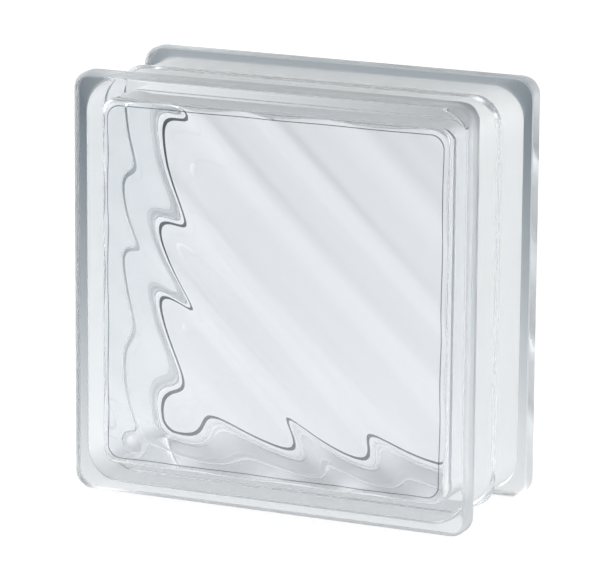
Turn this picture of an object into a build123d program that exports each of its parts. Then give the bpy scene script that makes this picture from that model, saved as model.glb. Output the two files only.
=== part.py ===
"""Hollow glass block for a wall, 190 x 190 x 80 mm, made of two pressed glass half shells.

Each half is a shallow tray: a face plate with a rim round its edge, and a side wall that
stands behind the rim. The two trays are turned mouth to mouth and fused, which leaves a
sealed cavity, a thin bead along the seam, and a shallow channel round the block between
the rims that takes the mortar. The inside of each face plate carries diagonal waves, and
the waves of both halves run the same way.

Axes: X across the face, Y through the thickness, Z up. Front face towards -Y.
Origin: middle of the bottom edge, on the plane the block stands on. Millimetres.
"""

import math
import os

from build123d import *

# Overall sizes
block_width = 190.0  # face, side to side
block_height = 190.0  # face, bottom to top
block_thickness = 80.0  # outer face to outer face

# Rim round each face plate
rim_thickness = 10.5  # along the block's thickness
rim_corner_radius = 8.0  # of the face's outline
rim_face_round = 2.5  # edge between the face and the rim's side
rim_back_round = 0.9  # edge between the rim's side and the channel

# Mortar channel between the two rims
channel_depth = 4.0  # from the rim's side to the channel's floor
channel_corner_radius = 15.0
channel_slope = 1.2  # how far the rim's back leans over the channel's depth
channel_root_round = 1.2  # hollow round where the rim's back meets the floor

# Fused seam
outer_bead_height = 1.3  # stands out of the channel's floor
inner_bead_height = 0.7  # stands into the cavity
bead_half_width = 2.3  # on each side of the seam

# Walls of one half
face_thickness = 8.0  # at the mean level of the waves
wall_at_face = 8.0  # side wall beside the face plate
wall_at_seam = 7.0  # side wall at the mouth, thinner by the mould's draft
cavity_corner_at_face = 6.0
cavity_corner_at_seam = 9.0
cavity_floor_round = 3.2  # hollow round between face plate and side wall

# Waves pressed into the inside of the face plate
wave_pitch = 29.0  # crest to crest, across the waves
wave_height = 1.4  # trough to crest
wave_angle = 46.5  # from the horizontal to the line across the ridges, seen from the front

half_thickness = block_thickness / 2
channel_width = block_width - 2 * channel_depth
channel_height = block_height - 2 * channel_depth


def outline(width, height, corner, depth):
    """A rounded rectangle parallel to the face, depth behind the outer face plane."""
    plane = Plane(
        origin=(0, depth - half_thickness, block_height / 2),
        x_dir=(1, 0, 0),
        z_dir=(0, 1, 0),
    )
    return plane * RectangleRounded(width, height, corner)


def between(near, far):
    """The straight-sided solid that joins two outlines."""
    return loft([near.face(), far.face()], ruled=True)


def edges_at(solid, depth):
    """The edges of a solid that lie in the plane at that depth behind the outer face."""
    level = depth - half_thickness
    return solid.edges().filter_by_position(Axis.Y, level - 0.001, level + 0.001)


def rim():
    """The face plate's outer slab with its rounded rim and leaning back."""
    back = rim_thickness - channel_slope
    slab = extrude(
        outline(block_width, block_height, rim_corner_radius, 0), back, dir=(0, 1, 0)
    )
    lean = between(
        outline(block_width, block_height, rim_corner_radius, back),
        outline(channel_width, channel_height, channel_corner_radius, rim_thickness),
    )
    slab = fillet(edges_at(slab, 0), rim_face_round)
    joined = slab + lean
    return fillet(edges_at(joined, back), rim_back_round)


def side_wall():
    """The block of glass behind the rim, up to the seam."""
    return extrude(
        outline(channel_width, channel_height, channel_corner_radius, face_thickness),
        half_thickness - face_thickness,
        dir=(0, 1, 0),
    )


def seam_bead():
    """The half of the fused bead that stands round the outside of the mouth."""
    start = half_thickness - bead_half_width
    return between(
        outline(channel_width, channel_height, channel_corner_radius, start),
        outline(
            channel_width + 2 * outer_bead_height,
            channel_height + 2 * outer_bead_height,
            channel_corner_radius + outer_bead_height,
            half_thickness,
        ),
    )


def cavity():
    """The space inside one half, drafted, narrowed at the seam by the inner bead."""
    floor = face_thickness - wave_height / 2
    mouth = half_thickness - bead_half_width
    at_floor = outline(
        channel_width - 2 * wall_at_face,
        channel_height - 2 * wall_at_face,
        cavity_corner_at_face,
        floor,
    )
    at_mouth = outline(
        channel_width - 2 * wall_at_seam,
        channel_height - 2 * wall_at_seam,
        cavity_corner_at_seam,
        mouth,
    )
    at_seam = outline(
        channel_width - 2 * (wall_at_seam + inner_bead_height),
        channel_height - 2 * (wall_at_seam + inner_bead_height),
        cavity_corner_at_seam - inner_bead_height,
        half_thickness,
    )
    tray = between(at_floor, at_mouth)
    tray = fillet(edges_at(tray, floor), cavity_floor_round)
    return tray + between(at_mouth, at_seam)


def wave_plate(angle):
    """A plate of waves, flat below, that fills the cavity's floor up to the wave surface.

    The wave is a chain of equal arcs, hollow and raised in turn, that meet on a tangent.
    A hollow passes through the middle of the face.
    """
    span = wave_pitch / 2
    reach = math.hypot(block_width, block_height) / 2
    last = math.ceil(reach / span)
    pieces = []
    for n in range(-last, last + 1):
        middle = n * span
        level = wave_height / 2 if n % 2 else -wave_height / 2
        arc = ThreePointArc((middle - span / 2, 0), (middle, level), (middle + span / 2, 0))
        pieces += arc.edges()
    end = (last + 0.5) * span
    sides = Polyline((end, 0), (end, -face_thickness), (-end, -face_thickness), (-end, 0))
    pieces += sides.edges()
    section = Face(Wire(pieces))
    plate = extrude(section, reach, dir=(0, 0, 1), both=True)
    turn = math.radians(angle)
    bed = Plane(
        origin=(0, face_thickness - half_thickness, block_height / 2),
        x_dir=(math.cos(turn), 0, math.sin(turn)),
        z_dir=(-math.sin(turn), 0, math.cos(turn)),
    )
    return bed * plate


def half_shell(angle):
    """A rimmed tray on the front side, whose mouth lies in the seam plane."""
    solid = rim() + side_wall()
    solid = fillet(edges_at(solid, rim_thickness), channel_root_round)
    solid = solid + seam_bead()
    return solid - (cavity() - wave_plate(angle))


def main():
    front = half_shell(wave_angle)
    back = half_shell(180 - wave_angle).rotate(Axis.Z, 180)
    os.makedirs("parts", exist_ok=True)
    export_step(front, "parts/front_half_shell.step")
    export_step(back, "parts/back_half_shell.step")
    print("one half shell:", round(front.volume / 1000, 1), "cubic centimetres")


main()
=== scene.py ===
import math

import bpy
import numpy as np
from mathutils import Matrix, Vector


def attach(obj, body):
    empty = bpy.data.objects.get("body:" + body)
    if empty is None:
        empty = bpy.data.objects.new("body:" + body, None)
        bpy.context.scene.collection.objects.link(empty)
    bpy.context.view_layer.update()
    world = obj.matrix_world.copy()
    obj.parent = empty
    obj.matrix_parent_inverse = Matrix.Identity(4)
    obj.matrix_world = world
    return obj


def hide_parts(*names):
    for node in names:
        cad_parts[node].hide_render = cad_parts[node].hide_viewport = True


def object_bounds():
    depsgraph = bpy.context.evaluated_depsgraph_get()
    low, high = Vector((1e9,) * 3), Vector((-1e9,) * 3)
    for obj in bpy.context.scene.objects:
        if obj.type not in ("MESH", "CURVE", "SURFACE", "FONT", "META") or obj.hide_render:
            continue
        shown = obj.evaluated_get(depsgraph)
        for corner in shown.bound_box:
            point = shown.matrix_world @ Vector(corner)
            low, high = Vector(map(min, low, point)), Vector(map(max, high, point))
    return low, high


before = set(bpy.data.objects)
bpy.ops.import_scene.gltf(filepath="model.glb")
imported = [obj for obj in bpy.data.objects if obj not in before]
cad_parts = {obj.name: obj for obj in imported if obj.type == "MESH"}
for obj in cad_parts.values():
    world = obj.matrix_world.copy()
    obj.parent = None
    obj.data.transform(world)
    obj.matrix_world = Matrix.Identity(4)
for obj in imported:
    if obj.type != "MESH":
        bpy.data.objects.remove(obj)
cadLow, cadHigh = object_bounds()
print("frame loaded")

mm = 0.001


def srgb(code):
    # one sRGB hex colour as linear red, green, blue and full alpha
    parts = [int(code[i : i + 2], 16) / 255 for i in (0, 2, 4)]
    return [c / 12.92 if c <= 0.04045 else ((c + 0.055) / 1.055) ** 2.4 for c in parts] + [1.0]


def addNode(tree, kind, links=(), **settings):
    # one node with its inputs set, then joined to the sockets named in links
    node = tree.nodes.new(kind)
    for name, value in settings.items():
        if name in node.inputs:
            node.inputs[name].default_value = value
        else:
            setattr(node, name, value)
    for source, target in links:
        tree.links.new(source, node.inputs[target])
    return node


# sizes of the block in millimetres, and how finely its rounds are drawn
glassBlock = {
    "rimThickness": 10.5,
    "rimCornerRadius": 8.0,
    "rimFaceRound": 2.5,
    "rimBackRound": 0.9,
    "channelDepth": 4.0,
    "channelCornerRadius": 15.0,
    "channelSlope": 1.2,
    "channelRootRound": 1.2,
    "outerBeadHeight": 1.3,
    "innerBeadHeight": 0.7,
    "beadHalfWidth": 2.3,
    "beadShape": 1.6,  # power of the sine that a seam bead rises by
    "faceThickness": 8.0,
    "wallAtFace": 8.0,
    "wallAtSeam": 7.0,
    "cavityCornerAtFace": 6.0,
    "cavityCornerAtSeam": 9.0,
    "cavityFloorRound": 3.2,
    "wavePitch": 29.0,
    "waveHeight": 1.4,
    "waveAngle": 46.5,
    "waveStart": 2.25,
    "driftReach": 2.7,  # how far the waves wander from an even spacing
    "driftLength": 11.9,
    "driftStart": 2.45,
    "sharpening": 0.06,  # height of the double wave that sharpens the ridges
    "sharpeningStart": -0.7,
    "waveBlend": 0.3,  # rounding where a wave runs into the side wall
    "wallOnlyAbove": 4.0,  # height over the pane from which there is wall alone
    "paneRings": 70,
    "firstPaneRing": 0.004,  # share of the pane inside its smallest ring
    "straightSteps": 76,
    "cornerSteps": 12,
    "faceRoundSteps": 11,
    "backRoundSteps": 7,
    "rootRoundSteps": 8,
    "beadSteps": 9,
    "floorRoundSteps": 12,
    "wallSteps": 14,
    "ridgeSteps": 8,
    "faceRing": 0.5,  # rings set this close to a round keep the flat beside it flat
    "sideRing": 0.4,
    "backRing": 0.3,
    "rootRing": 0.5,
    "beadRing": 0.4,
    "polishedTo": 0.1,  # depth from the outer face that the clear finish reaches
    "stepFrom": 0.6,  # inset from which the rim's back counts as its step
    "floorFrom": 3.9,  # inset from which the channel counts as its floor
    "frontShadeRings": 1,  # rings of the hollow round tinted dark as painted shade, front and back
    "backShadeRings": 3,
}

finishOrder = ["polished", "primer", "mouldMarked", "paintedCreaseShade", "satin"]


def outlineWalk(straightSteps, cornerSteps):
    # Once round a rounded rectangle: for each point the corner centre it hangs on, as
    # shares of the half width and half height, and the angle it faces.
    share = np.linspace(-1, 1, straightSteps, endpoint=False)
    turn = np.linspace(0, math.pi / 2, cornerSteps, endpoint=False)
    side = np.stack([np.ones_like(share), share])
    corner = np.ones((2, cornerSteps))
    quarterWalk = np.concatenate([side, corner], axis=1)
    across, up, angle = [], [], []
    for quarter in range(4):
        start = quarter * math.pi / 2
        c, s = round(math.cos(start)), round(math.sin(start))
        across.append(c * quarterWalk[0] - s * quarterWalk[1])
        up.append(s * quarterWalk[0] + c * quarterWalk[1])
        angle.append(np.concatenate([np.full(straightSteps, start), start + turn]))
    return np.concatenate(across), np.concatenate(up), np.concatenate(angle)


def carryProfile(walk, halfWidth, halfHeight, radius, depth, middle):
    # Each profile point is one ring: a rounded rectangle of that half width, half height
    # and corner radius, at that depth along Y.
    across, up, angle = walk
    w, h, r, y = (np.asarray(a, float)[:, None] for a in (halfWidth, halfHeight, radius, depth))
    x = across * (w - r) + r * np.cos(angle)
    z = up * (h - r) + r * np.sin(angle) + middle
    return np.stack([x, y + 0 * x, z], axis=-1)


def arcSteps(centreIn, centreDepth, radius, start, end, steps):
    # An arc of a profile, as inset and depth: the centre plus the radius times the cosine
    # and the sine of an angle that goes evenly from start to end, in degrees.
    t = np.radians(np.linspace(start, end, steps))
    return centreIn + radius * np.cos(t), centreDepth + radius * np.sin(t)


def outerProfile(s, halfThickness):
    # Inset from the block's outline, depth from the outer face and corner radius, from
    # the flat of the face over the rim and the channel to the top of the seam bead.
    rimBack = s["rimThickness"] - s["channelSlope"]
    lean = math.atan2(s["channelSlope"], s["channelDepth"])
    leanDegrees = math.degrees(lean)
    halfTurn = math.tan((math.pi / 2 - lean) / 2)
    faceRound, backRound, rootRound = s["rimFaceRound"], s["rimBackRound"], s["channelRootRound"]
    floor = s["channelDepth"]
    backStart = rimBack - backRound * halfTurn
    rootEnd = s["rimThickness"] + rootRound * halfTurn
    beadStart = halfThickness - s["beadHalfWidth"]

    face = [[faceRound + s["faceRing"]], [0]]
    faceArc = arcSteps(faceRound, faceRound, faceRound, 270, 180, s["faceRoundSteps"])
    sideDepths = [
        faceRound + s["sideRing"],
        (faceRound + backStart) / 2,
        backStart - s["backRing"],
    ]
    backArc = arcSteps(backRound, backStart, backRound, 180, 90 + leanDegrees, s["backRoundSteps"])
    rootArc = arcSteps(floor - rootRound, rootEnd, rootRound, leanDegrees - 90, 0, s["rootRoundSteps"])
    floorDepths = [
        rootEnd + s["rootRing"],
        (rootEnd + beadStart) / 2,
        beadStart - s["beadRing"],
    ]
    # half of the seam bead: a power of the sine gives it a round top and a soft foot
    rise = np.linspace(0, 1, s["beadSteps"])
    bead = [
        floor - s["outerBeadHeight"] * np.sin(rise * math.pi / 2) ** s["beadShape"],
        beadStart + s["beadHalfWidth"] * rise,
    ]
    side = [[0, 0, 0], sideDepths]
    channel = [[floor, floor, floor], floorDepths]
    parts = [face, faceArc, side, backArc, rootArc, channel, bead]
    inset, depth = np.concatenate(parts, axis=1)

    # the outline's corners shrink with the inset on the face, and widen into the channel
    share = np.clip(inset / floor, 0, 1)
    widened = s["rimCornerRadius"] + share * (s["channelCornerRadius"] - s["rimCornerRadius"])
    radius = np.where(depth < faceRound, s["rimCornerRadius"] - inset, widened)
    return inset, depth, radius


def cavityProfile(s, halfThickness, half):
    # Half width, depth from the outer face and corner radius, from the middle of the
    # pane over the hollow round and up the drafted wall to the ridge at the seam.
    floor = s["faceThickness"] - s["waveHeight"] / 2
    mouth = halfThickness - s["beadHalfWidth"]
    atFloor = half - s["channelDepth"] - s["wallAtFace"]
    atMouth = half - s["channelDepth"] - s["wallAtSeam"]
    hollow = s["cavityFloorRound"]
    cornerIn, cornerOut = s["cavityCornerAtFace"], s["cavityCornerAtSeam"]
    lean = math.atan2(atMouth - atFloor, mouth - floor)
    paneEdge = atFloor - hollow * math.tan((math.pi / 2 - lean) / 2)

    # pane: rings that grow from the middle to where the hollow round starts
    grow = np.linspace(s["firstPaneRing"], 1, s["paneRings"])
    pane = [paneEdge * grow, floor + 0 * grow, cornerIn * grow]
    # hollow round: a circle's arc up to the lean of the wall
    turn = np.radians(np.linspace(0, 90 - math.degrees(lean), s["floorRoundSteps"]))[1:]
    roundIn = paneEdge + hollow * np.sin(turn)
    roundDepth = floor + hollow * (1 - np.cos(turn))
    # wall: a straight line, drafted outwards
    climb = np.linspace(0, 1, s["wallSteps"])[1:]
    wall = [
        roundIn[-1] + (atMouth - roundIn[-1]) * climb,
        roundDepth[-1] + (mouth - roundDepth[-1]) * climb,
        cornerIn + (cornerOut - cornerIn) * climb,
    ]
    # ridge left inside by the fused seam, with the bead's shape
    rise = np.linspace(0, 1, s["ridgeSteps"])[1:]
    step = s["innerBeadHeight"] * np.sin(rise * math.pi / 2) ** s["beadShape"]
    ridge = [atMouth - step, mouth + s["beadHalfWidth"] * rise, cornerOut - step]
    return np.concatenate([pane, [roundIn, roundDepth, cornerIn + 0 * turn], wall, ridge], axis=1)


def waveDepth(x, z, s):
    # Pane thickness: a cosine of the distance across the diagonal waves, whose spacing
    # drifts slowly by a sine, with a little of the double frequency for the ridges.
    turn = math.radians(s["waveAngle"])
    across = x * math.cos(turn) + z * math.sin(turn)
    drift = s["driftReach"] * np.sin(across / s["driftLength"] + s["driftStart"])
    phase = 2 * math.pi * (across + drift) / s["wavePitch"] + s["waveStart"]
    ripple = s["waveHeight"] / 2 * np.cos(phase)
    ripple += s["sharpening"] * np.cos(2 * phase + s["sharpeningStart"])
    return s["faceThickness"] + ripple


def meetWall(tray, wave, s):
    # On the pane the wave alone; past its edge the deeper of wave and wall, with the
    # crease between them rounded over the blend; high on the wall the wall alone.
    ring = np.arange(len(tray))[:, None]
    either = (tray + wave + np.sqrt((tray - wave) ** 2 + s["waveBlend"] ** 2)) / 2
    onWall = tray > s["faceThickness"] + s["wallOnlyAbove"]
    return np.where(ring < s["paneRings"], wave, np.where(onWall, tray, either))


def ringFaces(first, rings, count):
    # quads between neighbouring rings of a closed walk, and a cap at each end
    ring = np.arange(rings - 1)[:, None] * count + first
    here = np.arange(count)[None, :]
    after = (here + 1) % count
    corners = [ring + here, ring + count + here, ring + count + after, ring + after]
    quads = np.stack(corners, axis=-1).reshape(-1, 4)
    firstCap = np.arange(count) + first
    lastCap = (np.arange(count) + first + (rings - 1) * count)[::-1]
    return quads, firstCap, lastCap


def outerFinish(inset, y, halfThickness, s):
    # For each ring of the outer skin: clear on the face, primer on the channel's floor,
    # mould marks on the rim's step and the seam bead, and satin on the rim's side.
    midDepth = halfThickness - np.abs(y[:-1] + y[1:]) / 2
    midInset = (inset[:-1] + inset[1:]) / 2
    onStep = (midInset > s["stepFrom"]) & (midDepth > s["rimFaceRound"])
    return np.select(
        [midDepth < s["polishedTo"], midInset > s["floorFrom"], onStep],
        [finishOrder.index(name) for name in ("polished", "primer", "mouldMarked")],
        finishOrder.index("satin"),
    )


def cavityFinish(rings, s):
    # For each ring of the cavity skin: dark-tinted glass, painted shade, on the first rings of the
    # hollow round, counted from the nearer pane, and the clear one on all the rest.
    ring = np.arange(rings - 1)
    fromPane = np.minimum(ring, rings - 2 - ring) - s["paneRings"] + 1
    wide = np.where(ring < rings / 2, s["frontShadeRings"], s["backShadeRings"])
    inPaintedShade = (fromPane >= 0) & (fromPane < wide)
    return np.where(inPaintedShade, finishOrder.index("paintedCreaseShade"), finishOrder.index("polished"))


def buildBlock(s):
    halfWidth = (cadHigh.x - cadLow.x) / 2 / mm
    halfHeight = (cadHigh.z - cadLow.z) / 2 / mm
    halfThickness = (cadHigh.y - cadLow.y) / 2 / mm
    walk = outlineWalk(s["straightSteps"], s["cornerSteps"])
    count = len(walk[0])

    # outer skin: the front profile, then the same one mirrored behind the seam
    inset, depth, radius = outerProfile(s, halfThickness)
    inset = np.concatenate([inset, inset[-2::-1]])
    y = np.concatenate([depth - halfThickness, (halfThickness - depth)[-2::-1]])
    radius = np.concatenate([radius, radius[-2::-1]])
    outer = carryProfile(walk, halfWidth - inset, halfHeight - inset, radius, y, halfHeight)

    # cavity skin: waves on the front pane, and the same pressing turned round behind
    width, depth, radius = cavityProfile(s, halfThickness, halfWidth)
    height = width + halfHeight - halfWidth
    front = carryProfile(walk, width, height, radius, depth, 0)
    back = front.copy()
    frontWave = waveDepth(front[..., 0], front[..., 2], s)
    backWave = waveDepth(-back[..., 0], -back[..., 2], s)
    front[..., 1] = meetWall(front[..., 1], frontWave, s) - halfThickness
    back[..., 1] = halfThickness - meetWall(back[..., 1], backWave, s)
    cavity = np.concatenate([front, back[-2::-1]])
    cavity[..., 2] += halfHeight

    points = np.concatenate([outer.reshape(-1, 3), cavity.reshape(-1, 3)]) * mm
    quads, capA, capB = ringFaces(0, len(outer), count)
    cavityQuads, capC, capD = ringFaces(len(outer) * count, len(cavity), count)
    faces = [*quads.tolist(), capA.tolist(), capB.tolist()]
    skinFaces = len(faces)
    # the cavity's faces are turned over, so that they look out of the glass too
    faces += [*cavityQuads[:, ::-1].tolist(), capC[::-1].tolist(), capD[::-1].tolist()]

    mesh = bpy.data.meshes.new("glass_block")
    mesh.from_pydata(points, [], faces)
    mesh.polygons.foreach_set("use_smooth", np.ones(len(faces), bool))
    index = np.zeros(len(faces), np.int32)
    index[: len(quads)] = np.repeat(outerFinish(inset, y, halfThickness, s), count)
    cavityIndex = np.repeat(cavityFinish(len(cavity), s), count)
    index[skinFaces : skinFaces + len(cavityQuads)] = cavityIndex
    mesh.polygons.foreach_set("material_index", index)
    mesh.validate()
    mesh.update()
    made = bpy.data.objects.new("glass_block", mesh)
    bpy.context.collection.objects.link(made)
    print("glass block:", len(points), "points,", len(faces), "faces,", skinFaces, "of them outside")
    return made


finish = {
    "glassTint": "f7f9fb",
    "depthTint": "bdc7cd",  # what is left after a long way through the glass
    "depthDensity": 3.0,
    "glassIor": 1.52,  # soda-lime glass
    "polishedRoughness": 0.0,
    "stepRoughness": 0.25,
    "sideRoughness": 0.6,
    # dark tint of the glass on the hollow round's first rings: painted shade along the crease
    "paintedShadeTint": "5c6267",
    "primer": "f3f5f6",
    "primerThrough": 0.68,  # share of the light that passes the coat
    "primerRoughness": 0.5,
    "primerIor": 1.5,
}


def startMaterial(name):
    mat = bpy.data.materials.new(name)
    mat.use_nodes = True
    mat.node_tree.nodes.clear()
    return mat, mat.node_tree, addNode(mat.node_tree, "ShaderNodeOutputMaterial")


def sodaLimeGlass(name, tint, roughness, s):
    # soda-lime glass: clear and bright through the panes, and grey-blue where the eye looks
    # a long way through it, along the rims
    mat, tree, out = startMaterial(name)
    glass = addNode(
        tree,
        "ShaderNodeBsdfPrincipled",
        **{
            "Base Color": srgb(tint),
            "Roughness": roughness,
            "IOR": s["glassIor"],
            "Transmission Weight": 1.0,
        },
    )
    tree.links.new(glass.outputs["BSDF"], out.inputs["Surface"])
    depth = addNode(
        tree,
        "ShaderNodeVolumeAbsorption",
        Color=srgb(s["depthTint"]),
        Density=s["depthDensity"],
    )
    tree.links.new(depth.outputs["Volume"], out.inputs["Volume"])
    return mat


def edgePrimer(s):
    # white primer sprayed on the channel so that mortar grips: satin, and thin enough to glow
    mat, tree, out = startMaterial("white_edge_primer")
    coat = addNode(
        tree,
        "ShaderNodeBsdfPrincipled",
        **{
            "Base Color": srgb(s["primer"]),
            "Roughness": s["primerRoughness"],
            "IOR": s["primerIor"],
        },
    )
    through = addNode(tree, "ShaderNodeBsdfTranslucent", Color=srgb(s["primer"]))
    mix = addNode(
        tree,
        "ShaderNodeMixShader",
        [(coat.outputs["BSDF"], 1), (through.outputs["BSDF"], 2)],
        Fac=s["primerThrough"],
    )
    tree.links.new(mix.outputs["Shader"], out.inputs["Surface"])
    return mat


def blockFinishes(s):
    tint = s["glassTint"]
    return {
        # pressed and flame-polished faces, clear and mirror smooth
        "polished": sodaLimeGlass("fire_polished_soda_lime_glass", tint, s["polishedRoughness"], s),
        "primer": edgePrimer(s),
        # the mould leaves the rim's step and the seam slightly frosted, so they read dark grey
        "mouldMarked": sodaLimeGlass("mould_marked_soda_lime_glass", tint, s["stepRoughness"], s),
        # painted shade: the glass on the tight crease at the foot of the walls is tinted dark, which
        # draws a dark line along it
        "paintedCreaseShade": sodaLimeGlass(
            "soda_lime_glass_painted_dark_as_crease_shade", s["paintedShadeTint"], s["polishedRoughness"], s
        ),
        # the rim's side is satin from the mould, so it stays an even light grey
        "satin": sodaLimeGlass("satin_soda_lime_glass", tint, s["sideRoughness"], s),
    }


block = buildBlock(glassBlock)
made = blockFinishes(finish)
for name in finishOrder:
    block.data.materials.append(made[name])
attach(block, "root")
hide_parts("front_half_shell", "back_half_shell")
print("finishes ready")


# the light: levels are strengths, edges on the floor are metres and those round the block
# are parts of a unit direction
studio = {
    "floorRadius": 7.0,
    "floorCorners": 96,
    "floorTone": "707070",
    "floorRoughness": 0.6,
    "floorShine": 0.2,
    "frontGlow": 0.02,  # light in the table: next to none in front of the block,
    "nearGlow": 0.78,  # most under it,
    "farGlow": 0.58,  # and less behind
    "glowFrom": -0.4,
    "glowTo": -0.05,
    "fadeFrom": 0.1,
    "fadeTo": 1.6,
    "floorSeen": 0.85,  # what the camera sees of it directly
    "frontLight": 0.3,
    "backLight": 0.45,
    "frontEdge": -0.5,
    "backEdge": 0.3,
    "leftLight": 3.8,  # the two big softboxes
    "rightLight": 3.6,
    "boxEdge": 0.3,
    "boxFrom": 0.32,
    "boxTo": 0.78,
    "topLight": 0.37,
    "topFrom": 0.45,
    "topTo": 0.85,
    "glassBounces": 24,  # a look through the block meets a dozen glass surfaces
    "shineBounces": 8,
}


def buildFloor(s):
    # a flat round table, lit from inside: the cosine and sine of evenly spaced angles
    angle = np.linspace(0, 2 * math.pi, s["floorCorners"], endpoint=False)
    points = np.stack([np.cos(angle), np.sin(angle), 0 * angle], axis=-1) * s["floorRadius"]
    mesh = bpy.data.meshes.new("light_table")
    mesh.from_pydata(points, [], [list(range(s["floorCorners"]))])
    floor = bpy.data.objects.new("light_table", mesh)
    bpy.context.collection.objects.link(floor)
    mat = bpy.data.materials.new("white_acrylic_light_table")
    mat.use_nodes = True
    tree = mat.node_tree
    shader = tree.nodes["Principled BSDF"]
    shader.inputs["Base Color"].default_value = srgb(s["floorTone"])
    shader.inputs["Roughness"].default_value = s["floorRoughness"]
    shader.inputs["Specular IOR Level"].default_value = s["floorShine"]
    shader.inputs["Emission Color"].default_value = srgb("ffffff")
    where = addNode(tree, "ShaderNodeTexCoord")
    parts = addNode(tree, "ShaderNodeSeparateXYZ", [(where.outputs["Object"], "Vector")])
    near = addNode(
        tree,
        "ShaderNodeMapRange",
        [(parts.outputs["Y"], "Value")],
        **{
            "interpolation_type": "SMOOTHSTEP",
            "From Min": s["glowFrom"],
            "From Max": s["glowTo"],
            "To Min": s["frontGlow"],
            "To Max": s["nearGlow"],
        },
    )
    far = addNode(
        tree,
        "ShaderNodeMapRange",
        [(parts.outputs["Y"], "Value"), (near.outputs["Result"], "To Min")],
        **{
            "interpolation_type": "SMOOTHSTEP",
            "From Min": s["fadeFrom"],
            "From Max": s["fadeTo"],
            "To Max": s["farGlow"],
        },
    )
    path = addNode(tree, "ShaderNodeLightPath")
    glow = addNode(
        tree,
        "ShaderNodeMapRange",
        [(path.outputs["Is Camera Ray"], "Value"), (far.outputs["Result"], "To Min")],
        **{"To Max": s["floorSeen"]},
    )
    tree.links.new(glow.outputs["Result"], shader.inputs["Emission Strength"])
    mesh.materials.append(mat)


def buildWorld(s):
    # Soft light by direction: a wide box on each side, a little from in front and behind,
    # and an even glow from above. Every blend is a smooth step.
    world = bpy.data.worlds.new("studio")
    world.use_nodes = True
    tree = world.node_tree
    tree.nodes.clear()
    out = addNode(tree, "ShaderNodeOutputWorld")
    where = addNode(tree, "ShaderNodeTexCoord")
    parts = addNode(tree, "ShaderNodeSeparateXYZ", [(where.outputs["Generated"], "Vector")])
    aside = addNode(tree, "ShaderNodeMath", [(parts.outputs["X"], 0)], operation="ABSOLUTE")
    ends = addNode(
        tree,
        "ShaderNodeMapRange",
        [(parts.outputs["Y"], "Value")],
        **{
            "interpolation_type": "SMOOTHSTEP",
            "From Min": s["frontEdge"],
            "From Max": s["backEdge"],
            "To Min": s["frontLight"],
            "To Max": s["backLight"],
        },
    )
    boxes = addNode(
        tree,
        "ShaderNodeMapRange",
        [(parts.outputs["X"], "Value")],
        **{
            "interpolation_type": "SMOOTHSTEP",
            "From Min": -s["boxEdge"],
            "From Max": s["boxEdge"],
            "To Min": s["leftLight"],
            "To Max": s["rightLight"],
        },
    )
    side = addNode(
        tree,
        "ShaderNodeMapRange",
        [
            (aside.outputs[0], "Value"),
            (ends.outputs["Result"], "To Min"),
            (boxes.outputs["Result"], "To Max"),
        ],
        **{"interpolation_type": "SMOOTHSTEP", "From Min": s["boxFrom"], "From Max": s["boxTo"]},
    )
    overhead = addNode(
        tree,
        "ShaderNodeMapRange",
        [(parts.outputs["Z"], "Value"), (side.outputs["Result"], "To Min")],
        **{
            "interpolation_type": "SMOOTHSTEP",
            "From Min": s["topFrom"],
            "From Max": s["topTo"],
            "To Max": s["topLight"],
        },
    )
    back = addNode(tree, "ShaderNodeBackground", [(overhead.outputs["Result"], "Strength")])
    back.inputs["Color"].default_value = srgb("ffffff")
    tree.links.new(back.outputs["Background"], out.inputs["Surface"])
    bpy.context.scene.world = world


buildFloor(studio)
buildWorld(studio)

# angles in radians, distances in metres from the middle of the block
view = {
    "yaw": 0.4289,
    "pitch": 0.2301,
    "roll": 0.0072,
    "lens": 258.96,
    "sensorWidth": 36.0,
    "clipStart": 0.05,
    "clipEnd": 30.0,
    "distance": 1.914,
    "right": -0.00233,
    "up": -0.00107,
}


def buildCamera(v):
    # A long lens with no shift, looking down at the middle of the block: its axes are the
    # view direction, the level line across it and the line at right angles to both.
    cam = bpy.data.cameras.new("camera")
    cam.lens = v["lens"]
    cam.sensor_width = v["sensorWidth"]
    cam.clip_start = v["clipStart"]
    cam.clip_end = v["clipEnd"]
    camera = bpy.data.objects.new("camera", cam)
    yaw, pitch, roll = v["yaw"], v["pitch"], v["roll"]
    level = math.cos(pitch)
    forward = Vector((-math.sin(yaw) * level, math.cos(yaw) * level, -math.sin(pitch)))
    across = Vector((math.cos(yaw), math.sin(yaw), 0))
    upright = across.cross(forward)
    side = across * math.cos(roll) + upright * math.sin(roll)
    upward = upright * math.cos(roll) - across * math.sin(roll)
    place = Matrix((side, upward, -forward)).transposed().to_4x4()
    target = (cadLow + cadHigh) / 2
    place.translation = target - forward * v["distance"] + across * v["right"] + upright * v["up"]
    camera.matrix_world = place
    bpy.context.collection.objects.link(camera)
    bpy.context.scene.camera = camera


buildCamera(view)
scene = bpy.context.scene
scene.view_settings.view_transform = "Standard"
scene.cycles.max_bounces = studio["glassBounces"]
scene.cycles.transmission_bounces = studio["glassBounces"]
scene.cycles.glossy_bounces = studio["shineBounces"]
print("studio ready")
